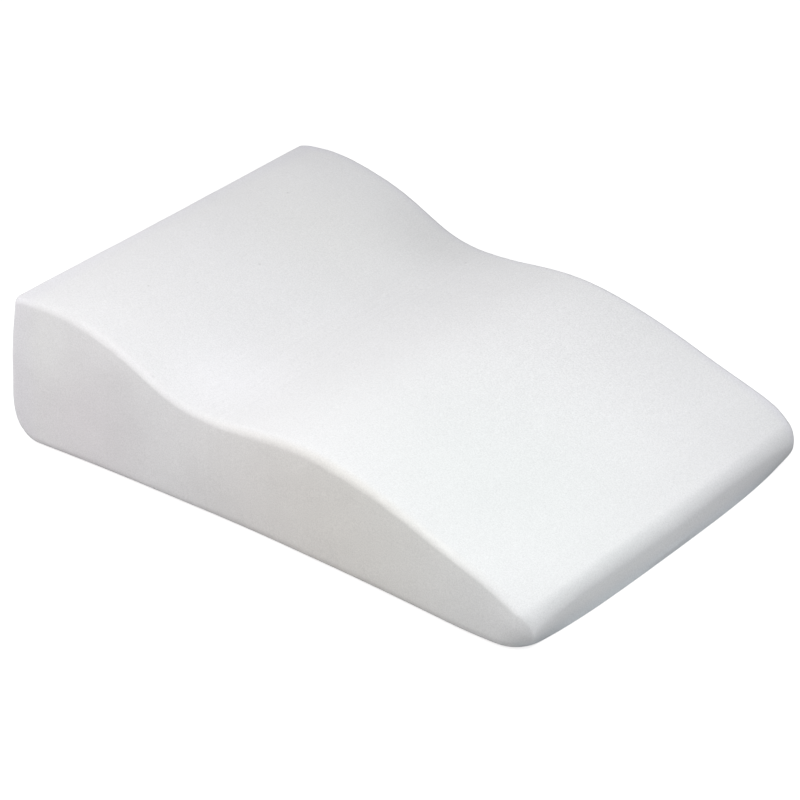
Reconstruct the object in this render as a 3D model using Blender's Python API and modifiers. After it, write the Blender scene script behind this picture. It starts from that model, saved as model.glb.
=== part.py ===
"""Leg pillow: one contoured block of foam in a closely fitted white knitted cover.

It lies on its flat underside. Seen from the side, the high end (-X) lifts the heels, the hollow
after it holds the calves, the rise lies under the knees, and the top then slopes down to a thin
blunt tip (+X) under the thighs. The sides are drawn in a little at mid length, most at the foot,
and the top is slightly crowned. Lengths are in metres, and the origin is at the middle of the
underside.
"""
import bmesh
import bpy
import numpy as np

# Overall length
LENGTH = 0.6987         # from the plane of the heel end to the plane of the tip
MIDDLE = 0.3513         # from the plane of the heel end to the origin

# Top line seen from the side, before the two ends are rounded off
TOP_LINE = (
    # share of the length, height above the underside
    (0.00, 0.1664),
    (0.08, 0.1739),
    (0.16, 0.1688),
    (0.25, 0.1488),
    (0.33, 0.1245),
    (0.41, 0.1184),
    (0.50, 0.1251),
    (0.58, 0.1304),
    (0.66, 0.1246),
    (0.75, 0.1082),
    (0.85, 0.0846),
    (0.95, 0.0614),
    (1.00, 0.0477),
)

# Half widths at the heel end, at mid length and at the tip, before the corners are rounded off
FOOT_HALVES = (0.2500, 0.2369, 0.2500)
TOP_HALVES = (0.2379, 0.2339, 0.2369)

# Rounded long top edges
TOP_EDGES = (
    # share of the length, how far the edge reaches across and down
    (0.00, 0.0065, 0.0065),
    (0.15, 0.0090, 0.0090),
    (0.35, 0.0075, 0.0075),
    (0.60, 0.0115, 0.0115),
    (0.80, 0.0080, 0.0080),
    (1.00, 0.0065, 0.0065),
)

# How the two ends are rounded off, seen from the side and from above
ROUNDINGS = {
    # name: (reach along the length, depth at the end's plane, power of the curve)
    "heel top": (0.0099, 0.0150, 2.0),
    "heel underside": (0.0403, 0.0848, 2.0),
    "heel corners": (0.0200, 0.0200, 2.0),
    "tip top": (0.0110, 0.0144, 2.0),
    "tip underside": (0.0200, 0.0015, 2.0),
    "tip corners": (0.0357, 0.0220, 1.84),
}

# How the filling and the cover's pull change the plain block
CROWN_WIDTH = 0.500     # width over which the middle rises and the ends are drawn in
CROWNS = (0.0093, 0.0035, -0.0033)   # rise of the top at mid width, at heel end, mid length and tip
SIDE_SWELL = 0.0019     # how far each side swells out at mid height
HEEL_DRAW = 0.0144      # how far the heel end is drawn in at mid width
HEEL_LEAN = 0.0030      # how far the foot of the heel end leans out
LEAN_HEIGHT = 0.150     # height at which the heel end stops leaning
LEAN_SHARE = 0.2        # share of the length over which the lean dies out
TIP_BOW = 0.0022        # how far the tip stands out at mid width
TIP_LEAN = 0.0010       # how far the tip's top stands out past its foot
CORNER_TUCK = 0.0129    # how far the foot of the tip's corners is drawn back from the tip's plane
TIP_REACH = 0.050       # length over which both die out
FULL_TOP = 0.4776       # share of the tip corners' rounding that the top is spared
CORNER_DIP = 0.0115     # how far the top dips at the tip's corners
DIP_REACH = 0.055       # length over which that dip dies out
TIP_TUCK = 0.0124       # how far the lower corners of the tip are tucked in towards its middle
TUCK_REACH = 0.100      # length over which that tuck dies out

# Rounded long bottom edges, and how the cage cuts every long edge's corner
FOOT_EDGE = 0.0131      # radius of the long bottom edges
EDGE_SHARE = 0.49       # most of a cross-section's height that one rounded edge takes
CORNER_INSET = 0.170    # how far the cage's corner lies in, as a share of the edge's reach

# Cage: where the block is cut before it is smoothed
HEEL_CUTS = (0.0, 0.002, 0.007, 0.016, 0.029, 0.046, 0.072)
TIP_CUTS = (0.085, 0.052, 0.028, 0.0135, 0.007, 0.0025, 0.0)
BODY_CUTS = 18          # cuts between those of the two ends
# Places of the cage's inner columns, as shares of the half width inside the rounded edges
COLUMN_SHARES = (-1.0, -0.88, -0.45, 0.0, 0.45, 0.88, 1.0)
ACROSS_PARTS = len(COLUMN_SHARES) + 1
LEVEL_PARTS = 4         # parts up the height, the rounded edges included
SMOOTHING_LEVELS = 1

COVER_COLOUR = (0.86, 0.86, 0.87, 1.0)
COVER_ROUGHNESS = 0.9


def clear_scene():
    """Removes whatever the scene holds."""
    for thing in list(bpy.data.objects):
        bpy.data.objects.remove(thing, do_unlink=True)


def smooth_curve(knots, values, at):
    """Height of the curve through the values: cubics whose bends agree at the knots and end at none."""
    steps = np.diff(knots)
    count = len(knots)
    system = np.eye(count)
    turns = np.zeros(count)
    for i in range(1, count - 1):
        system[i, i - 1:i + 2] = steps[i - 1], 2.0 * (steps[i - 1] + steps[i]), steps[i]
        turns[i] = 6.0 * ((values[i + 1] - values[i]) / steps[i] - (values[i] - values[i - 1]) / steps[i - 1])
    bends = np.linalg.solve(system, turns)
    k = int(np.clip(np.searchsorted(knots, at) - 1, 0, count - 2))
    before = (knots[k + 1] - at) / steps[k]
    after = 1.0 - before
    sag = (before ** 3 - before) * bends[k] + (after ** 3 - after) * bends[k + 1]
    return before * values[k] + after * values[k + 1] + sag * steps[k] ** 2 / 6.0


def eased_curve(knots, values, at):
    """Value that eases from each knot's to the next one's."""
    k = int(np.clip(np.searchsorted(knots, at) - 1, 0, len(knots) - 2))
    share = (at - knots[k]) / (knots[k + 1] - knots[k])
    return values[k] + (values[k + 1] - values[k]) * share * share * (3.0 - 2.0 * share)


def parabola(values, share):
    """Value at a share of the length of the parabola through the values at its start, middle and end."""
    start, middle, end = values
    ends = start * (1.0 - share) * (1.0 - 2.0 * share) + end * share * (2.0 * share - 1.0)
    return ends + 4.0 * middle * share * (1.0 - share)


def rounded_off(name, distance):
    """How far the surface falls back at a distance in from an end: a quarter of a rounded curve."""
    reach, depth, power = ROUNDINGS[name]
    share = max(0.0, 1.0 - distance / reach)
    return depth * (1.0 - (1.0 - share ** power) ** (1.0 / power))


def section(from_heel):
    """Sizes of the cross-section at a distance from the heel end.

    They are its underside and top heights, its half widths at foot and top, and the reaches of its
    rounded top edges across and down.
    """
    from_tip = LENGTH - from_heel
    share = from_heel / LENGTH
    shares, heights = np.array(TOP_LINE).T
    top = smooth_curve(shares, heights, share)
    top -= rounded_off("heel top", from_heel) + rounded_off("tip top", from_tip)
    underside = rounded_off("heel underside", from_heel) + rounded_off("tip underside", from_tip)
    tip_corners = rounded_off("tip corners", from_tip)
    corners = rounded_off("heel corners", from_heel) + tip_corners
    foot_half = parabola(FOOT_HALVES, share) - corners
    top_half = parabola(TOP_HALVES, share) - corners + FULL_TOP * tip_corners
    shares, across, down = np.array(TOP_EDGES).T
    edge_across = eased_curve(shares, across, share)
    edge_down = min(eased_curve(shares, down, share), EDGE_SHARE * (top - underside))
    return underside, top, foot_half, top_half, edge_across, edge_down


def station_distances():
    """Distances from the heel end at which the cage has a cross-section."""
    near_tip = [LENGTH - distance for distance in TIP_CUTS]
    body = np.linspace(HEEL_CUTS[-1], near_tip[0], BODY_CUTS + 2)[1:-1]
    return [*HEEL_CUTS, *body, *near_tip]


def cage_point(from_heel, column, level):
    """Place of the cage's point in a column across the width, at a level up a cross-section."""
    underside, top, foot_half, top_half, edge_across, edge_down = section(from_heel)
    height = top - underside
    foot_edge = min(FOOT_EDGE, EDGE_SHARE * height)
    at_foot, at_top = level == 0, level == LEVEL_PARTS
    at_side = column in (0, ACROSS_PARTS)
    side = -1.0 if 2 * column < ACROSS_PARTS else 1.0

    inner_levels = np.linspace(underside + foot_edge, top - edge_down, LEVEL_PARTS - 1)
    z = underside if at_foot else top if at_top else inner_levels[level - 1]
    share_up = (z - underside) / height
    half = foot_half + (top_half - foot_half) * share_up + 4.0 * SIDE_SWELL * share_up * (1.0 - share_up)
    edge = foot_edge + (edge_across - foot_edge) * level / LEVEL_PARTS
    y = side * half if at_side else COLUMN_SHARES[column - 1] * (half - edge)
    if at_side and at_top:
        y -= side * CORNER_INSET * edge_across
        z -= CORNER_INSET * edge_down
    if at_side and at_foot:
        y -= side * CORNER_INSET * foot_edge
        z += CORNER_INSET * foot_edge

    share_along = from_heel / LENGTH
    from_tip = LENGTH - from_heel
    middle = 1.0 - (2.0 * y / CROWN_WIDTH) ** 2
    x = from_heel - MIDDLE
    x += HEEL_DRAW * middle * max(0.0, 1.0 - 2.0 * share_along)
    x += TIP_BOW * middle * max(0.0, 2.0 * share_along - 1.0)
    x -= HEEL_LEAN * max(0.0, 1.0 - z / LEAN_HEIGHT) * max(0.0, 1.0 - share_along / LEAN_SHARE)
    at_tip = max(0.0, 1.0 - from_tip / TIP_REACH) ** 2
    x += TIP_LEAN * (share_up - 0.5) * at_tip
    x -= CORNER_TUCK * (1.0 - share_up) ** 2 * (2.0 * y / CROWN_WIDTH) ** 4 * at_tip
    tuck = TIP_TUCK * (1.0 - share_up) ** 2 * max(0.0, 1.0 - from_tip / TUCK_REACH) ** 2
    y -= tuck * 2.0 * y / CROWN_WIDTH
    dip = CORNER_DIP * (2.0 * y / CROWN_WIDTH) ** 4 * max(0.0, 1.0 - from_tip / DIP_REACH) ** 2
    z += (parabola(CROWNS, share_along) * middle - dip) * share_up
    return x, y, z


def block_cage(stations):
    """A box cut into blocks along, across and up, with each corner point then moved to its place."""
    parts = (len(stations) - 1, ACROSS_PARTS, LEVEL_PARTS)
    cage = bmesh.new()
    bmesh.ops.create_cube(cage, size=1.0)
    for vertex in cage.verts:
        vertex.co = [(value + 0.5) * part for value, part in zip(vertex.co, parts)]
    for axis, part in enumerate(parts):
        normal = [float(axis == other) for other in range(3)]
        for cut in range(1, part):
            everything = cage.verts[:] + cage.edges[:] + cage.faces[:]
            place = [cut * value for value in normal]
            bmesh.ops.bisect_plane(cage, geom=everything, plane_co=place, plane_no=normal)
    for vertex in cage.verts:
        station, column, level = (round(value) for value in vertex.co)
        vertex.co = cage_point(stations[station], column, level)
    bmesh.ops.recalc_face_normals(cage, faces=cage.faces)
    return cage


def cover_material():
    """Plain white knitted cotton."""
    material = bpy.data.materials.new("white knitted cover")
    material.use_nodes = True
    shader = material.node_tree.nodes["Principled BSDF"]
    shader.inputs["Base Color"].default_value = COVER_COLOUR
    shader.inputs["Roughness"].default_value = COVER_ROUGHNESS
    shader.inputs["Metallic"].default_value = 0.0
    material.diffuse_color = COVER_COLOUR
    return material


def make_pillow(collection):
    """The filled and covered pillow as one soft solid."""
    mesh = bpy.data.meshes.new("pillow")
    cage = block_cage(station_distances())
    cage.to_mesh(mesh)
    cage.free()
    mesh.materials.append(cover_material())
    mesh.shade_smooth()
    pillow = bpy.data.objects.new("pillow", mesh)
    collection.objects.link(pillow)
    smoothing = pillow.modifiers.new("Soft surface", "SUBSURF")
    smoothing.levels = SMOOTHING_LEVELS
    smoothing.render_levels = SMOOTHING_LEVELS
    return pillow


def main():
    clear_scene()
    collection = bpy.data.collections.new("leg pillow")
    bpy.context.scene.collection.children.link(collection)
    make_pillow(collection)


main()
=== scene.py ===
"""Leg pillow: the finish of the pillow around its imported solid.

The pillow lies on its underside, with its high heel end towards -X and its thin tip towards +X.
The cover's fine surface is worked out from the same sizes as the solid's, in metres, with its
origin at the middle of the underside, and then gets the small unevenness of filled, worn cloth.
"""

import itertools
import math

import bpy
import numpy as np
from mathutils import Matrix, Vector


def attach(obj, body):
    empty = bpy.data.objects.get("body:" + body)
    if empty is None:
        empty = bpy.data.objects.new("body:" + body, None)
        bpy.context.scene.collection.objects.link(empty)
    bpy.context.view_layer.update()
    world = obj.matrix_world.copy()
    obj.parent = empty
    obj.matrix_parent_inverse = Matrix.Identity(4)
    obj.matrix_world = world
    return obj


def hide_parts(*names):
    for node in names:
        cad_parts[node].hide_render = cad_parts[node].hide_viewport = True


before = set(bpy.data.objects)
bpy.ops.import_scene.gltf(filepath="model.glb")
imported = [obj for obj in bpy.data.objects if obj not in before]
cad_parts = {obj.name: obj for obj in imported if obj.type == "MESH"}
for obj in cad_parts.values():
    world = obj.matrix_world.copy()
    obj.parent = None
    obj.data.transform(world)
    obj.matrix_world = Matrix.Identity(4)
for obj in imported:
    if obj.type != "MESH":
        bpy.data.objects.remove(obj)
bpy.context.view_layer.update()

# Sizes of the pillow
LENGTH = 0.6987         # from the plane of the heel end to the plane of the tip
MIDDLE = 0.3513         # from the plane of the heel end to the origin
TOP_LINE = (
    # share of the length, height above the underside
    (0.00, 0.1664),
    (0.08, 0.1739),
    (0.16, 0.1688),
    (0.25, 0.1488),
    (0.33, 0.1245),
    (0.41, 0.1184),
    (0.50, 0.1251),
    (0.58, 0.1304),
    (0.66, 0.1246),
    (0.75, 0.1082),
    (0.85, 0.0846),
    (0.95, 0.0614),
    (1.00, 0.0477),
)
HALF_WIDTHS = (
    # share of the length, half width at the foot, half width at the top
    (0.0, 0.2500, 0.2379),
    (0.5, 0.2369, 0.2339),
    (1.0, 0.2500, 0.2369),
)
TOP_EDGES = (
    # share of the length, how far the rounded top edge reaches across and down
    (0.00, 0.0065, 0.0065),
    (0.15, 0.0090, 0.0090),
    (0.35, 0.0075, 0.0075),
    (0.60, 0.0115, 0.0115),
    (0.80, 0.0080, 0.0080),
    (1.00, 0.0065, 0.0065),
)
ROUNDINGS = {
    # name: (reach along the length, depth at the end's plane, power of the curve)
    "heel top": (0.0099, 0.0150, 2.0),
    "heel underside": (0.0403, 0.0848, 2.0),
    "heel corners": (0.0200, 0.0200, 2.0),
    "tip top": (0.0110, 0.0144, 2.0),
    "tip underside": (0.0200, 0.0015, 2.0),
    "tip corners": (0.0357, 0.0220, 1.84),
}
FOOT_EDGE = 0.0131      # radius of the long bottom edges
EDGE_SHARE = 0.49       # most of a cross-section's height that one rounded edge takes
CROWNS = (0.0093, 0.0035, -0.0033)   # rise of the top at mid width, at heel end, mid length and tip
SIDE_SWELL = 0.0019     # how far each side swells out at mid height
HEEL_DRAW = 0.0144      # how far the heel end is drawn in at mid width
HEEL_LEAN = 0.0030      # how far the foot of the heel end leans out
LEAN_HEIGHT = 0.150     # height at which the heel end stops leaning
LEAN_SHARE = 0.2        # share of the length over which the lean dies out
TIP_BOW = 0.0022        # how far the tip stands out at mid width
TIP_LEAN = 0.0010       # how far the tip's top stands out past its foot
CORNER_TUCK = 0.0129    # how far the foot of the tip's corners is drawn back from the tip's plane
TIP_REACH = 0.050       # length over which both die out
FULL_TOP = 0.4776       # share of the tip corners' rounding that the top is spared
CORNER_DIP = 0.0115     # how far the top dips at the tip's corners
DIP_REACH = 0.055       # length over which that dip dies out
TIP_TUCK = 0.0124       # how far the lower corners of the tip are tucked in towards its middle
TUCK_REACH = 0.100      # length over which that tuck dies out

# How fine the surface is
END_ROWS = 13           # rows round each end's own edge
ROW_SPANS = (
    # from and to, as distances from the heel end, and the rows between
    (0.012, 0.066, 44),
    (0.066, 0.655, 200),
    (0.655, 0.6873, 20),
)
CAP_ROWS = 14           # rows from an end's rim to its middle
TOP_COLUMNS = 116       # columns across the top
UNDER_COLUMNS = 44      # columns across the underside
SIDE_COLUMNS = 28       # columns up each side
ARC_COLUMNS = 11        # columns round each long edge

# Unevenness of the filled cover: size of the swells, height on the top, height on the sides
SWELLS = (
    (0.150, 0.0007, 0.0010),
    (0.060, 0.0003, 0.0006),
    (0.026, 0.0001, 0.0003),
)
FLAT_HEIGHT = 0.010     # height below which the unevenness dies out towards the flat underside

# Shallow furrows that the cover's pull leaves near the heel end: points in plan, half width, depth
FURROWS = (
    ((-0.3175, -0.060), (-0.3095, -0.005), (-0.2895, 0.052), 0.0022, 0.00035),
    ((-0.2590, -0.014), (-0.2540, -0.006), (-0.2480, 0.002), 0.0020, 0.00020),
)

# Cloth of the cover
COVER_WHITE = (0.805, 0.805, 0.812)
COVER_ROUGHNESS = 0.92
COVER_SPECULAR = 0.25
COVER_SHEEN = 0.15
SHEEN_ROUGHNESS = 0.5
NOISE_SPAN = (0.3, 0.7)         # random values that are mapped to a depth's least and most

# Grain of the knit: fineness of the noise, and the least and most that it leaves of the white
GRAIN_SCALE = 700.0
GRAIN_DEPTH = (0.93, 1.07)
GRAIN_ROUGHNESS = 0.6
GRAIN_BUMP = 0.25
GRAIN_HEIGHT = 0.0006
COARSE_SCALE = 560.0            # a coarser grain, strongest on the rise and the slope beyond it
COARSE_DEPTH = (0.935, 1.065)
COARSE_PLACE = ((0.12, 0.12, 0.115), 0.380)     # its middle, and the distance at which it has died out
CLOUD_SCALE = 9.0               # broad clouds
CLOUD_DEPTH = (0.990, 1.010)
SOFT_ROUGHNESS = 0.5            # roughness of the clouds', ribs' and blotches' noise

# Faint ribs, which run nearly straight across the pillow and are strongest in a band over the hollow.
# The noise's space is stretched first and turned after that, and the band is measured in it.
RIB_TURN = -0.680
RIB_SCALE = (250.0, 9.0, 9.0)
RIB_DEPTH = (0.988, 1.012)
RIB_MIDDLE = -0.059             # middle line of the band, in stretched space, over the first of the scales
RIB_REACH = 0.050               # half width of the band, likewise
RIB_REST = 0.25                 # strength that the ribs keep outside it

# Tints: place, distance at which each has died out, and the colour that it multiplies the cover's by.
# The nearly neutral ones are painted light where they lighten the white and painted shade where they
# darken it. Those of the far rim and side, the heel end and the tip's foot are painted bluish shade.
# All of these stand for light that falls there and not for colours of the cloth.
SIDE_FROM = 0.2290              # distance from the middle line beyond which the near side begins
SIDE_BLEND = 0.004              # distance over which it does so, either way
BLOTCH_SCALE = 24.0
BLOTCH_SPAN = (0.40, 0.66)      # random values between which a blotch sets in
BLOTCH_TINT = (0.978, 0.978, 0.978)
SIDE_TINTS_AND_PAINTED_LIGHT = (
    ((-0.24, -0.245, 0.050), 0.130, (0.988, 0.965, 0.975)),
    ((0.10, -0.240, 0.050), 0.260, (1.0, 0.976, 0.935)),
    # painted shade
    ((-0.187, -0.240, 0.090), 0.060, (0.950, 0.950, 0.950)),
    # painted light
    ((-0.290, -0.242, 0.115), 0.070, (1.035, 1.045, 1.035)),
    # painted shade
    ((0.280, -0.241, 0.045), 0.060, (0.965, 0.965, 0.965)),
)
TOP_TINTS_AND_PAINTED_LIGHT = (
    ((0.22, -0.12, 0.095), 0.280, (0.976, 1.0, 0.985)),
    # painted shade, darker on the far slope into the hollow
    ((-0.125, 0.210, 0.130), 0.110, (0.925, 0.925, 0.920)),
    ((-0.20, 0.10, 0.160), 0.150, (1.0, 1.0, 0.985)),
    # painted light
    ((0.17, 0.06, 0.108), 0.200, (1.035, 1.035, 1.035)),
    # painted light
    ((-0.10, -0.165, 0.128), 0.100, (1.035, 1.035, 1.045)),
    # painted light
    ((-0.28, 0.16, 0.178), 0.120, (1.030, 1.030, 1.030)),
)
FAR_SHADE_SPAN = (0.214, 0.236)        # places across between which the painted shade of rim and far side sets in
FAR_SHADE_TINT = (0.945, 0.938, 0.975)
HEEL_SHADE_SPAN = (-0.330, -0.300)  # places along between which the heel end's painted bluish shade dies out towards the top
HEEL_SHADE_TINT = (0.982, 0.978, 1.0)
TIP_SHADE = (0.0, 0.022)        # heights between which the painted bluish shade of the tip's foot dies out
TIP_FROM = (0.325, 0.335)       # places along between which it sets in
TIP_SHADE_TINT = (0.935, 0.970, 1.0)

# Small dark flecks: place, distance at which each has died out, share of the white that it takes
FLECKS = (
    ((-0.2383, -0.1364, 0.1751), 0.0022, 0.16),
    ((-0.2852, -0.1945, 0.1772), 0.0020, 0.10),
    ((-0.2195, -0.1704, 0.1691), 0.0020, 0.08),
    ((-0.1494, -0.2276, 0.1376), 0.0022, 0.12),
    ((-0.2594, 0.1140, 0.1793), 0.0024, 0.20),
    ((-0.1911, -0.0114, 0.1644), 0.0024, 0.18),
    ((-0.2096, -0.0909, 0.1695), 0.0020, 0.10),
    ((-0.1216, -0.1705, 0.1287), 0.0020, 0.08),
    ((0.2020, -0.1270, 0.1035), 0.0026, 0.06),
    ((0.1575, -0.1030, 0.1130), 0.0026, 0.06),
    ((-0.1450, 0.1260, 0.1420), 0.0026, 0.06),
    ((0.1660, 0.1470, 0.1134), 0.0026, 0.16),
    ((0.1110, 0.1010, 0.1280), 0.0030, 0.08),
    ((0.1490, 0.0230, 0.1190), 0.0026, 0.08),
    ((0.2030, 0.0680, 0.1020), 0.0026, 0.08),
    ((0.2220, 0.0000, 0.0950), 0.0028, 0.10),
    ((0.2750, 0.2210, 0.0780), 0.0026, 0.14),
    ((-0.0690, 0.1930, 0.1210), 0.0026, 0.12),
)

# Camera of the photograph's view
CAMERA_AZIMUTH = 39.736     # degrees round from looking along +Y
CAMERA_ELEVATION = 30.317   # degrees above the horizon
CAMERA_ROLL = -0.819        # degrees
CAMERA_PLACE = (1.9900, -2.4015, 1.8816)
CAMERA_LENS = 152.198       # millimetres on a sensor 36 mm wide
SENSOR_WIDTH = 36.0

# Soft studio light: place in metres, the point it is aimed at, side length, watts, colour
LAMPS = {
    "back softbox": ((0.0, 2.598, 1.5), (0.0, 0.0, 0.0), 1.4, 16.00, (1.0, 1.0, 1.0)),
    "low heel softbox": ((-2.934, 0.0, 0.624), (0.0, 0.0, 0.0), 1.4, 24.00, (1.0, 1.0, 1.0)),
    "low tip softbox": ((2.934, 0.0, 0.624), (0.0, 0.0, 0.0), 1.4, 3.70, (0.830, 0.886, 1.0)),
    "near heel softbox": ((-0.7, -1.0, 1.2), (-0.49, -0.7, 0.0), 0.9, 8.38, (1.0, 0.993, 0.997)),
    "heel softbox": ((-0.7, -0.4, 1.2), (-0.49, -0.28, 0.0), 0.9, 0.58, (0.948, 0.927, 1.0)),
    "far heel softbox": ((-0.7, 0.2, 1.2), (-0.49, 0.14, 0.0), 0.9, 1.33, (0.986, 0.970, 1.0)),
    "rise softbox": ((0.3, -0.4, 1.2), (0.21, -0.28, 0.0), 0.9, 0.85, (0.975, 1.0, 0.989)),
    "tip softbox near": ((0.8, -0.4, 1.2), (0.56, -0.28, 0.0), 0.9, 11.75, (0.997, 1.0, 0.999)),
    "tip softbox far": ((0.8, 0.2, 1.2), (0.56, 0.14, 0.0), 0.9, 2.85, (0.985, 0.995, 1.0)),
    "low tip lamp": ((1.4, 0.0, 0.6), (0.98, 0.0, 0.0), 0.6, 1.30, (0.881, 0.933, 1.0)),
    "low near lamp": ((-0.4, -1.3, 0.6), (-0.28, -0.91, 0.0), 0.6, 5.08, (1.0, 0.965, 0.961)),
}
SKY_STRENGTH = 0.0      # the lamps give all the light
FLOOR_COLOUR = (0.50, 0.50, 0.50)
FLOOR_GLOW = 0.80       # glow that the camera sees in the white floor, which lights nothing
FLOOR_SIZE = 30.0


def smooth_curve(knots, values, at):
    """Cubic pieces through the values, whose bends agree at the knots and are none at both ends.

    The bends solve step * bend before + 2 (both steps) * bend + step * bend after = 6 * change of slope.
    """
    steps = np.diff(knots)
    slopes = np.diff(values) / steps
    system = np.diag(np.r_[1.0, 2.0 * (steps[:-1] + steps[1:]), 1.0])
    system += np.diag(np.r_[0.0, steps[1:]], 1) + np.diag(np.r_[steps[:-1], 0.0], -1)
    bends = np.linalg.solve(system, np.r_[0.0, 6.0 * np.diff(slopes), 0.0])
    k = np.clip(np.searchsorted(knots, at) - 1, 0, len(knots) - 2)
    before = (knots[k + 1] - at) / steps[k]
    after = 1.0 - before
    sag = (before ** 3 - before) * bends[k] + (after ** 3 - after) * bends[k + 1]
    return before * values[k] + after * values[k + 1] + sag * steps[k] ** 2 / 6.0


def eased_curve(knots, values, at):
    """Values that pass from knot to knot by the smooth step 3 t^2 - 2 t^3 of the share between them."""
    k = np.clip(np.searchsorted(knots, at) - 1, 0, len(knots) - 2)
    t = (at - knots[k]) / (knots[k + 1] - knots[k])
    return values[k] + (values[k + 1] - values[k]) * t * t * (3.0 - 2.0 * t)


def rounded_off(name, distance):
    """How far the surface falls back at a distance in from an end.

    It is depth (1 - (1 - s^p)^(1/p)), with s = 1 - distance / reach and p the power of the curve.
    """
    reach, depth, power = ROUNDINGS[name]
    share = np.clip(1.0 - distance / reach, 0.0, 1.0)
    return depth * (1.0 - (1.0 - share ** power) ** (1.0 / power))


def sections(from_heel):
    """Sizes of the cross-sections at distances from the heel end.

    They are the underside's and the top's height, the half widths at foot and top, and the reaches of
    the rounded top edge across and down. The two heights are their curves along the length, less the
    quarter curves that round off the two ends. The half widths are parabolas, less the same in plan, of
    which the top is spared a share at the tip.
    """
    from_tip = LENGTH - from_heel
    share_along = from_heel / LENGTH
    shares, heights = np.array(TOP_LINE).T
    top = smooth_curve(shares, heights, share_along)
    top -= rounded_off("heel top", from_heel) + rounded_off("tip top", from_tip)
    underside = rounded_off("heel underside", from_heel) + rounded_off("tip underside", from_tip)
    tip_corners = rounded_off("tip corners", from_tip)
    corners = rounded_off("heel corners", from_heel) + tip_corners
    shares, at_foot, at_top = np.array(HALF_WIDTHS).T
    foot_half = np.polyval(np.polyfit(shares, at_foot, 2), share_along) - corners
    top_half = np.polyval(np.polyfit(shares, at_top, 2), share_along) - corners + FULL_TOP * tip_corners
    shares, across, down = np.array(TOP_EDGES).T
    edge_across = eased_curve(shares, across, share_along)
    edge_down = np.minimum(eased_curve(shares, down, share_along), EDGE_SHARE * (top - underside))
    return underside, top, foot_half, top_half, edge_across, edge_down


def ring_layout():
    """The ring round a cross-section, from the middle of the underside towards +Y and once round.

    Each point is a place between the four arcs' centres, across from -1 to 1 and up from 0 to 1, and
    a direction out from it, (sine, cosine) on an arc and square to the face elsewhere.
    """
    half_under = np.linspace(0.0, 1.0, UNDER_COLUMNS // 2, endpoint=False)
    turn = np.linspace(0.0, 0.5 * np.pi, ARC_COLUMNS, endpoint=False)
    rise = np.linspace(0.0, 1.0, SIDE_COLUMNS, endpoint=False)
    over = np.linspace(1.0, -1.0, TOP_COLUMNS, endpoint=False)
    across = [half_under, 1.0 + 0 * turn, 1.0 + 0 * rise, 1.0 + 0 * turn, over]
    up = [0 * half_under, 0 * turn, rise, 1.0 + 0 * turn, 1.0 + 0 * over]
    out_y = [0 * half_under, np.sin(turn), 1.0 + 0 * rise, np.cos(turn), 0 * over]
    out_z = [-1.0 + 0 * half_under, -np.cos(turn), 0 * rise, np.sin(turn), 1.0 + 0 * over]
    across += [-1.0 + 0 * turn, -1.0 + 0 * rise, -1.0 + 0 * turn, half_under - 1.0]
    up += [1.0 + 0 * turn, 1.0 - rise, 0 * turn, 0 * half_under]
    out_y += [-np.sin(turn), -1.0 + 0 * rise, -np.cos(turn), 0 * half_under]
    out_z += [np.cos(turn), 0 * rise, -np.sin(turn), -1.0 + 0 * half_under]
    return [np.concatenate(parts) for parts in (across, up, out_y, out_z)]


def rings(sizes):
    """Y and Z of every ring: the arcs' centres, plus the edge's reach in the direction out.

    Each side then runs from the foot's half width to the top's in proportion to the share up, t, and
    swells out by 4 t (1 - t) between them.
    """
    underside, top, foot_half, top_half, edge_across, edge_down = (size[:, None] for size in sizes)
    across, up, out_y, out_z = ring_layout()
    height = top - underside
    foot_edge = np.minimum(FOOT_EDGE, EDGE_SHARE * height)
    upper = (up > 0.5) | (out_z > 0.0)
    reach_y = np.where(upper, edge_across, foot_edge)
    reach_z = np.where(upper, edge_down, foot_edge)
    y = across * (foot_half - reach_y) + out_y * reach_y
    z = (1.0 - up) * (underside + foot_edge) + up * (top - edge_down) + out_z * reach_z
    t = (z - underside) / height
    swell = 4.0 * t * (1.0 - t)
    y = y * (1.0 + ((top_half - foot_half) * t + SIDE_SWELL * swell) / foot_half)
    return y, z


def row_distances():
    """Distances of the rows from the heel end: even in each span, and closing up round the two ends.

    Those round an end lie at the span times 1 - cos(a), with the angle a in even steps to a quarter turn.
    """
    quarter = 1.0 - np.cos(np.linspace(0.0, 0.5 * np.pi, END_ROWS, endpoint=False))
    heel_span = ROW_SPANS[0][0]
    tip_span = LENGTH - ROW_SPANS[-1][1]
    spans = [np.linspace(start, end, rows, endpoint=False) for start, end, rows in ROW_SPANS]
    round_tip = (LENGTH - tip_span * quarter)[::-1]
    return np.concatenate([heel_span * quarter, *spans, [ROW_SPANS[-1][1]], round_tip])


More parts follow.
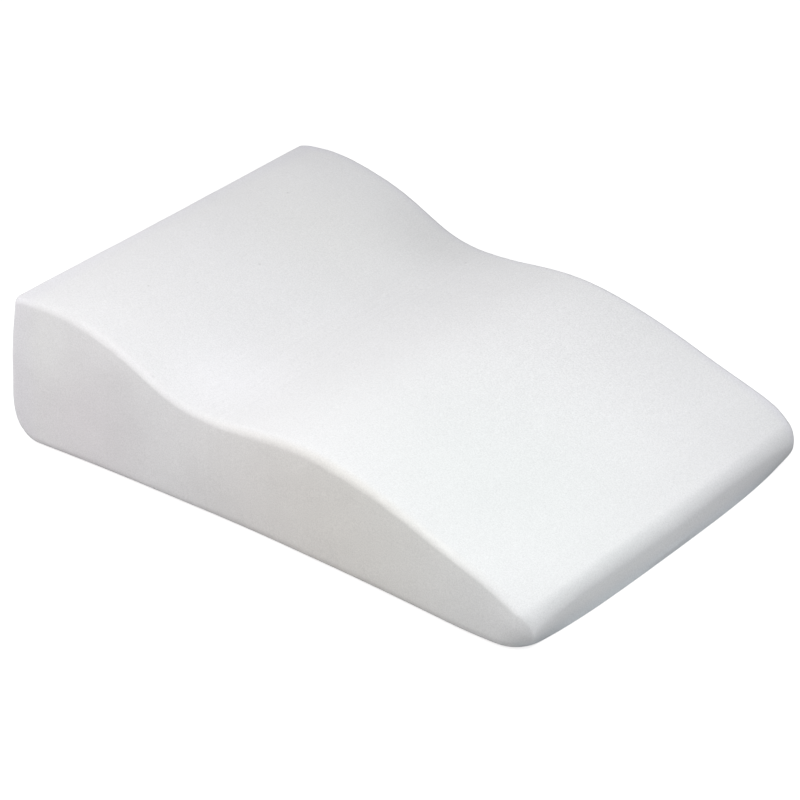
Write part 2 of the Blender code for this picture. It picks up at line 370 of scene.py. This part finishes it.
def bend_block(from_heel, y, z, share_up, half):
    """Draws the ends of the plain block in or out, as filling and cover pull them.

    The middle is 1 - (y / half width)^2. X takes the heel end's draw and the tip's bow, each times the
    middle and the share towards that end, the lean of each end, and the corner tuck by
    (1 - share up)^2 (y / half width)^4. Y takes the tip's tuck by (1 - share up)^2. Z takes the share up
    of the crown times the middle, less the dip of the tip's corners by (y / half width)^4.
    """
    share_along = from_heel / LENGTH
    from_tip = LENGTH - from_heel
    middle = 1.0 - (y / half) ** 2
    x = from_heel - MIDDLE
    x = x + HEEL_DRAW * middle * np.clip(1.0 - 2.0 * share_along, 0.0, None)
    x = x + TIP_BOW * middle * np.clip(2.0 * share_along - 1.0, 0.0, None)
    foot = np.clip(1.0 - z / LEAN_HEIGHT, 0.0, None) * np.clip(1.0 - share_along / LEAN_SHARE, 0.0, None)
    x = x - HEEL_LEAN * foot
    at_tip = np.clip(1.0 - from_tip / TIP_REACH, 0.0, None) ** 2
    x = x + TIP_LEAN * (share_up - 0.5) * at_tip
    x = x - CORNER_TUCK * (1.0 - share_up) ** 2 * (y / half) ** 4 * at_tip
    near_tip = np.clip(1.0 - from_tip / TUCK_REACH, 0.0, None) ** 2
    tucked = y - TIP_TUCK * (1.0 - share_up) ** 2 * near_tip * y / half
    rise = np.polyval(np.polyfit((0.0, 0.5, 1.0), CROWNS, 2), share_along) * middle
    dip = CORNER_DIP * (y / half) ** 4 * np.clip(1.0 - from_tip / DIP_REACH, 0.0, None) ** 2
    return np.stack([x, tucked, z + (rise - dip) * share_up], axis=-1)


def pillow_grid():
    """The whole surface as rows of rings, from the middle of the heel end to the middle of the tip.

    Row by row the ring follows the cross-section. Past the first and last cross-section the ring shrinks
    towards its own middle, in its end's plane, by even shares.
    """
    distances = row_distances()
    sizes = sections(distances)
    y, z = rings(sizes)
    shares = np.linspace(1.0, 0.0, CAP_ROWS, endpoint=False)[1:, None]
    caps = []
    for end in (0, -1):
        middle = (z[end].max() + z[end].min()) / 2.0
        caps.append((y[end] * shares, middle + (z[end] - middle) * shares))
    heel, tip = caps
    y = np.concatenate([heel[0][::-1], y, tip[0]])
    z = np.concatenate([heel[1][::-1], z, tip[1]])
    rows = CAP_ROWS - 1
    ends = (np.full(rows, distances[0]), np.full(rows, distances[-1]))
    from_heel = np.concatenate([ends[0], distances, ends[1]])[:, None]
    low = np.pad(sizes[0], rows, mode="edge")[:, None]
    high = np.pad(sizes[1], rows, mode="edge")[:, None]
    share_up = np.clip((z - low) / (high - low), 0.0, 1.0)
    return bend_block(from_heel, y, z, share_up, HALF_WIDTHS[0][1])


def clouds(points, size, seed):
    """Smooth random values from -1 to 1 at points.

    Random numbers sit on a cubic lattice of that size, and a point blends the eight around it by
    the smooth step 3 t^2 - 2 t^3 of its place between them.
    """
    count = 32
    lattice = np.random.default_rng(seed).uniform(-1.0, 1.0, (count, count, count))
    place = points / size + count / 2.0
    cell = np.floor(place).astype(int)
    blend = place - cell
    blend = blend * blend * (3.0 - 2.0 * blend)
    total = np.zeros(points.shape[:-1])
    for corner in itertools.product((0, 1), repeat=3):
        weight = np.prod(np.where(corner, blend, 1.0 - blend), axis=-1)
        i, j, k = np.moveaxis((cell + corner) % count, -1, 0)
        total += weight * lattice[i, j, k]
    return total


def furrow(points, start, bend, end, half_width, depth):
    """Depth at points of a furrow along a curve in plan.

    The curve is start (1 - t)^2 + 2 bend t (1 - t) + end t^2, with t the point's share across from start
    to end. The depth falls off with the distance along X as a bell, and towards both ends of the curve.
    """
    start, bend, end = (np.array(place) for place in (start, bend, end))
    t = (points[..., 1] - start[1]) / (end[1] - start[1])
    line = start[0] * (1.0 - t) ** 2 + 2.0 * bend[0] * t * (1.0 - t) + end[0] * t ** 2
    away = (points[..., 0] - line) / half_width
    inside = np.clip(4.0 * t * (1.0 - t), 0.0, 1.0)
    return depth * np.exp(-away ** 2) * np.sqrt(inside)


def outward(points):
    """Unit normals of the grid: the step along crossed with the step round, turned to point outwards."""
    along = np.gradient(points, axis=0)
    around = (np.roll(points, -1, axis=1) - np.roll(points, 1, axis=1)) / 2.0
    normal = np.cross(around, along)
    normal /= np.linalg.norm(normal, axis=-1, keepdims=True) + 1e-12
    return normal


def uneven(points):
    """Moves the surface out and in by the sum of the swells, less the furrows.

    Both die out towards the underside by the smooth step 3 s^2 - 2 s^3 of the height over FLAT_HEIGHT.
    """
    normal = outward(points)
    facing_up = np.clip(normal[..., 2:], 0.0, 1.0)[..., 0]
    height = np.zeros(points.shape[:-1])
    for number, (size, on_top, on_side) in enumerate(SWELLS):
        amount = on_side + (on_top - on_side) * facing_up
        height += amount * clouds(points, size, seed=number + 11)
    for row in FURROWS:
        height -= facing_up * furrow(points, *row)
    above_floor = np.clip(points[..., 2] / FLAT_HEIGHT, 0.0, 1.0)
    height *= above_floor ** 2 * (3.0 - 2.0 * above_floor)
    moved = points + normal * height[..., None]
    moved[..., 2] = np.maximum(moved[..., 2], 0.0)
    return moved


def grid_faces(rows, columns):
    """Corner numbers of the four-sided faces between neighbouring rows and columns, closed round the ring."""
    row = np.arange(rows - 1)[:, None] * columns
    column = np.arange(columns)[None, :]
    after = (column + 1) % columns
    faces = np.stack([row + column, row + after, row + columns + after, row + columns + column], axis=-1)
    return faces.reshape(-1, 4)


def cover_lengths(points):
    """The cover's own lengths in metres: along the middle of the top, and round each ring from there."""
    top_middle = int(np.argmax(points[len(points) // 2, :, 2]))
    steps = np.linalg.norm(np.diff(points[:, top_middle], axis=0), axis=-1)
    along = np.r_[0.0, np.cumsum(steps)][:, None]
    closed = np.concatenate([points, points[:, :1]], axis=1)
    steps = np.linalg.norm(np.diff(closed, axis=1), axis=-1)
    around = np.concatenate([np.zeros((len(points), 1)), np.cumsum(steps, axis=1)], axis=1)
    return along + 0.0 * around, around - around[:, -1:] / 2.0


def end_lengths(ring, lengths, way):
    """Cover lengths at the corners of one end's triangles: both ring points, and a third between them.

    The third is further along, back or on as way is -1 or 1, by the ring's mean distance to its middle.
    """
    step = np.linalg.norm(ring - ring.mean(axis=0), axis=-1).mean()
    between = 0.5 * (lengths[:-1] + lengths[1:]) + np.array([way * step, 0.0])
    return np.stack([lengths[:-1], lengths[1:], between], axis=1)


def pillow_mesh(points):
    """The grid as one closed mesh: four-sided faces, and a fan of triangles at the middle of each end."""
    rows, columns = points.shape[:2]
    poles = np.array([points[0].mean(axis=0), points[-1].mean(axis=0)])
    places = np.concatenate([points.reshape(-1, 3), poles])
    quads = grid_faces(rows, columns)
    column = np.arange(columns)
    after = (column + 1) % columns
    heel_pole, tip_pole = rows * columns, rows * columns + 1
    heel_fan = np.stack([after, column, np.full(columns, heel_pole)], axis=-1)
    last = (rows - 1) * columns
    tip_fan = np.stack([last + column, last + after, np.full(columns, tip_pole)], axis=-1)
    corners = np.concatenate([quads.ravel(), heel_fan.ravel(), tip_fan.ravel()])
    sizes = np.r_[np.full(len(quads), 4), np.full(2 * columns, 3)]

    mesh = bpy.data.meshes.new("covered pillow")
    mesh.vertices.add(len(places))
    mesh.vertices.foreach_set("co", places.ravel())
    mesh.loops.add(len(corners))
    mesh.loops.foreach_set("vertex_index", corners)
    mesh.polygons.add(len(sizes))
    mesh.polygons.foreach_set("loop_start", np.r_[0, np.cumsum(sizes)[:-1]])
    mesh.update(calc_edges=True)
    mesh.validate()
    mesh.shade_smooth()

    along, around = cover_lengths(points)
    lengths = np.stack([along, around], axis=-1)
    quad_lengths = np.stack([lengths[:-1, :-1], lengths[:-1, 1:], lengths[1:, 1:], lengths[1:, :-1]], axis=2)
    heel_lengths = end_lengths(points[0], lengths[0], -1.0)[:, [1, 0, 2]]
    tip_lengths = end_lengths(points[-1], lengths[-1], 1.0)
    fan_lengths = np.concatenate([heel_lengths, tip_lengths]).reshape(-1, 2)
    layer = mesh.uv_layers.new(name="cover lengths")
    layer.data.foreach_set("uv", np.concatenate([quad_lengths.reshape(-1, 2), fan_lengths]).ravel())
    return mesh


def node(tree, kind, **values):
    """One shader node with its properties set, or its input values where the name is an input's."""
    made = tree.nodes.new(kind)
    for name, value in values.items():
        if name in made.inputs:
            made.inputs[name].default_value = value
        else:
            setattr(made, name, value)
    return made


def noise(tree, vector, scale, detail, roughness):
    """Fine or broad random values, from 0 to 1 around a half, at a vector."""
    texture = node(tree, "ShaderNodeTexNoise", Scale=scale, Detail=detail, Roughness=roughness)
    tree.links.new(vector, texture.inputs["Vector"])
    return texture.outputs["Fac"]


def mapped(tree, value, low, high, from_low=0.0, from_high=1.0, ease="SMOOTHSTEP"):
    """A value between two bounds mapped to another two, held at both ends."""
    change = node(tree, "ShaderNodeMapRange", interpolation_type=ease)
    for name, number in (("From Min", from_low), ("From Max", from_high), ("To Min", low), ("To Max", high)):
        change.inputs[name].default_value = number
    tree.links.new(value, change.inputs["Value"])
    return change.outputs["Result"]


def product(tree, first, second):
    """Two values multiplied."""
    times = node(tree, "ShaderNodeMath", operation="MULTIPLY")
    tree.links.new(first, times.inputs[0])
    tree.links.new(second, times.inputs[1])
    return times.outputs["Value"]


def near_place(tree, position, place, reach):
    """A soft spot: 1 at a place, and falling to 0 at its reach."""
    apart = node(tree, "ShaderNodeVectorMath", operation="DISTANCE")
    apart.inputs[1].default_value = place
    tree.links.new(position, apart.inputs[0])
    return mapped(tree, apart.outputs["Value"], 1.0, 0.0, 0.0, reach)


def times(tree, colour, by, mask=None):
    """The colour multiplied by a tint or a value, by as much as the mask says, or wholly without one."""
    mix = node(tree, "ShaderNodeMix", data_type="RGBA", blend_type="MULTIPLY")
    tree.links.new(colour, mix.inputs["A"])
    if isinstance(by, tuple):
        mix.inputs["B"].default_value = (*by, 1.0)
    else:
        tree.links.new(by, mix.inputs["B"])
    if mask is None:
        mix.inputs["Factor"].default_value = 1.0
    else:
        tree.links.new(mask, mix.inputs["Factor"])
    return mix.outputs["Result"]


def depth(tree, value, bounds):
    """Random values mapped evenly to the least and most that they leave of the white."""
    return mapped(tree, value, *bounds, *NOISE_SPAN, "LINEAR")


def ribs(tree, position):
    """The ribs' own values, and the mask that makes them strongest in their band."""
    turned = node(tree, "ShaderNodeMapping")
    turned.inputs["Rotation"].default_value = (0.0, 0.0, RIB_TURN)
    turned.inputs["Scale"].default_value = RIB_SCALE
    tree.links.new(position, turned.inputs["Vector"])
    values = noise(tree, turned.outputs["Vector"], 1.0, 1.0, SOFT_ROUGHNESS)
    split = node(tree, "ShaderNodeSeparateXYZ")
    tree.links.new(turned.outputs["Vector"], split.inputs["Vector"])
    shifted = node(tree, "ShaderNodeMath", operation="SUBTRACT")
    shifted.inputs[1].default_value = RIB_MIDDLE * RIB_SCALE[0]
    tree.links.new(split.outputs["X"], shifted.inputs[0])
    away = node(tree, "ShaderNodeMath", operation="ABSOLUTE")
    tree.links.new(shifted.outputs["Value"], away.inputs[0])
    band = mapped(tree, away.outputs["Value"], 1.0, RIB_REST, 0.0, RIB_REACH * RIB_SCALE[0])
    return depth(tree, values, RIB_DEPTH), band


def tinted_and_painted_light(tree, colour, position):
    """The colour with the side's blotches, the soft tints, painted light and painted shade, and the flecks.
    """
    split = node(tree, "ShaderNodeSeparateXYZ")
    tree.links.new(position, split.inputs["Vector"])
    along, across, height = (split.outputs[axis] for axis in "XYZ")
    on_side = mapped(tree, across, 1.0, 0.0, -SIDE_FROM - SIDE_BLEND, -SIDE_FROM + SIDE_BLEND)
    blotches = noise(tree, position, BLOTCH_SCALE, 2.0, SOFT_ROUGHNESS)
    blotch = product(tree, mapped(tree, blotches, 0.0, 1.0, *BLOTCH_SPAN), on_side)
    colour = times(tree, colour, BLOTCH_TINT, blotch)
    # Soft tints; the nearly neutral ones are painted light and painted shade.
    for place, reach, tint in SIDE_TINTS_AND_PAINTED_LIGHT:
        colour = times(tree, colour, tint, product(tree, near_place(tree, position, place, reach), on_side))
    for place, reach, tint in TOP_TINTS_AND_PAINTED_LIGHT:
        colour = times(tree, colour, tint, near_place(tree, position, place, reach))
    # Painted bluish shade on the heel end.
    colour = times(tree, colour, HEEL_SHADE_TINT, mapped(tree, along, 1.0, 0.0, *HEEL_SHADE_SPAN))
    # Painted bluish shade on the far rim and far side.
    colour = times(tree, colour, FAR_SHADE_TINT, mapped(tree, across, 0.0, 1.0, *FAR_SHADE_SPAN))
    # Painted bluish shade along the tip's foot, darkest next to the floor.
    low = mapped(tree, height, 1.0, 0.0, *TIP_SHADE)
    at_tip = mapped(tree, along, 0.0, 1.0, *TIP_FROM)
    colour = times(tree, colour, TIP_SHADE_TINT, product(tree, low, at_tip))
    for place, reach, share in FLECKS:
        colour = times(tree, colour, (1.0 - share,) * 3, near_place(tree, position, place, reach))
    return colour


def cover_material():
    """Fine white knitted cotton.

    Its white is speckled by the knit, and has faint broad clouds, faint ribs, blotches on the near side,
    soft tints and a few dark flecks, with painted light and shade in some tints and on the heel end, the
    far rim and side and the tip's foot. Only the grain of the knit stands out.
    """
    material = bpy.data.materials.new("white knitted cover")
    material.use_nodes = True
    tree = material.node_tree
    shader = tree.nodes["Principled BSDF"]
    shader.inputs["Roughness"].default_value = COVER_ROUGHNESS
    shader.inputs["Specular IOR Level"].default_value = COVER_SPECULAR
    shader.inputs["Sheen Weight"].default_value = COVER_SHEEN
    shader.inputs["Sheen Roughness"].default_value = SHEEN_ROUGHNESS

    position = node(tree, "ShaderNodeTexCoord").outputs["Object"]
    white = node(tree, "ShaderNodeRGB")
    white.outputs["Color"].default_value = (*COVER_WHITE, 1.0)
    grain = noise(tree, position, GRAIN_SCALE, 2.0, GRAIN_ROUGHNESS)
    coarse = noise(tree, position, COARSE_SCALE, 2.0, GRAIN_ROUGHNESS)
    broad = noise(tree, position, CLOUD_SCALE, 2.0, SOFT_ROUGHNESS)
    colour = times(tree, white.outputs["Color"], depth(tree, grain, GRAIN_DEPTH))
    coarse_mask = near_place(tree, position, *COARSE_PLACE)
    colour = times(tree, colour, depth(tree, coarse, COARSE_DEPTH), coarse_mask)
    colour = times(tree, colour, depth(tree, broad, CLOUD_DEPTH))
    colour = times(tree, colour, *ribs(tree, position))
    colour = tinted_and_painted_light(tree, colour, position)
    tree.links.new(colour, shader.inputs["Base Color"])

    bump = node(tree, "ShaderNodeBump", Strength=GRAIN_BUMP, Distance=GRAIN_HEIGHT)
    tree.links.new(grain, bump.inputs["Height"])
    tree.links.new(bump.outputs["Normal"], shader.inputs["Normal"])
    return material


def make_pillow():
    """The covered pillow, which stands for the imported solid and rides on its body."""
    mesh = pillow_mesh(uneven(pillow_grid()))
    mesh.materials.append(cover_material())
    pillow = bpy.data.objects.new("covered_pillow", mesh)
    bpy.context.scene.collection.objects.link(pillow)
    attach(pillow, "root")
    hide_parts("pillow")
    return pillow


def floor_material():
    """Matt pale floor. A glow that only the camera sees makes it white, and lights nothing."""
    material = bpy.data.materials.new("plain pale floor")
    material.use_nodes = True
    tree = material.node_tree
    shader = tree.nodes["Principled BSDF"]
    shader.inputs["Base Color"].default_value = (*FLOOR_COLOUR, 1.0)
    shader.inputs["Roughness"].default_value = 1.0
    shader.inputs["Specular IOR Level"].default_value = 0.0
    glow = node(tree, "ShaderNodeEmission", Strength=FLOOR_GLOW)
    both = node(tree, "ShaderNodeAddShader")
    seen = node(tree, "ShaderNodeLightPath")
    choice = node(tree, "ShaderNodeMixShader")
    tree.links.new(shader.outputs["BSDF"], both.inputs[0])
    tree.links.new(glow.outputs["Emission"], both.inputs[1])
    tree.links.new(seen.outputs["Is Camera Ray"], choice.inputs["Fac"])
    tree.links.new(shader.outputs["BSDF"], choice.inputs[1])
    tree.links.new(both.outputs["Shader"], choice.inputs[2])
    tree.links.new(choice.outputs["Shader"], tree.nodes["Material Output"].inputs["Surface"])
    return material


def make_floor():
    """A plain pale floor under the pillow."""
    bpy.ops.mesh.primitive_plane_add(size=FLOOR_SIZE)
    floor = bpy.context.object
    floor.name = "floor"
    floor.data.materials.append(floor_material())
    return floor


def make_lamps():
    """Square soft lamps, each aimed at the pillow or the floor by it, and a dark sky."""
    for name, (place, aim, side, watts, colour) in LAMPS.items():
        light = bpy.data.lights.new(name, "AREA")
        light.shape = "SQUARE"
        light.size = side
        light.energy = watts
        light.color = colour
        lamp = bpy.data.objects.new(name, light)
        lamp.location = place
        lamp.rotation_euler = (Vector(place) - Vector(aim)).to_track_quat("Z", "Y").to_euler()
        bpy.context.scene.collection.objects.link(lamp)
    sky = bpy.data.worlds.new("dark sky")
    sky.use_nodes = True
    background = sky.node_tree.nodes["Background"]
    background.inputs["Strength"].default_value = SKY_STRENGTH
    bpy.context.scene.world = sky


def make_camera():
    """The photograph's camera: a long lens, from its azimuth, elevation and small roll."""
    camera = bpy.data.objects.new("camera", bpy.data.cameras.new("camera"))
    camera.data.sensor_width = SENSOR_WIDTH
    camera.data.lens = CAMERA_LENS
    turn = Matrix.Rotation(math.radians(CAMERA_AZIMUTH), 4, "Z")
    tilt = Matrix.Rotation(math.radians(90.0 - CAMERA_ELEVATION), 4, "X")
    roll = Matrix.Rotation(math.radians(CAMERA_ROLL), 4, "Z")
    camera.matrix_world = Matrix.Translation(CAMERA_PLACE) @ turn @ tilt @ roll
    bpy.context.scene.collection.objects.link(camera)
    bpy.context.scene.camera = camera


make_camera()
make_pillow()
make_floor()
make_lamps()
bpy.context.scene.view_settings.view_transform = "Standard"
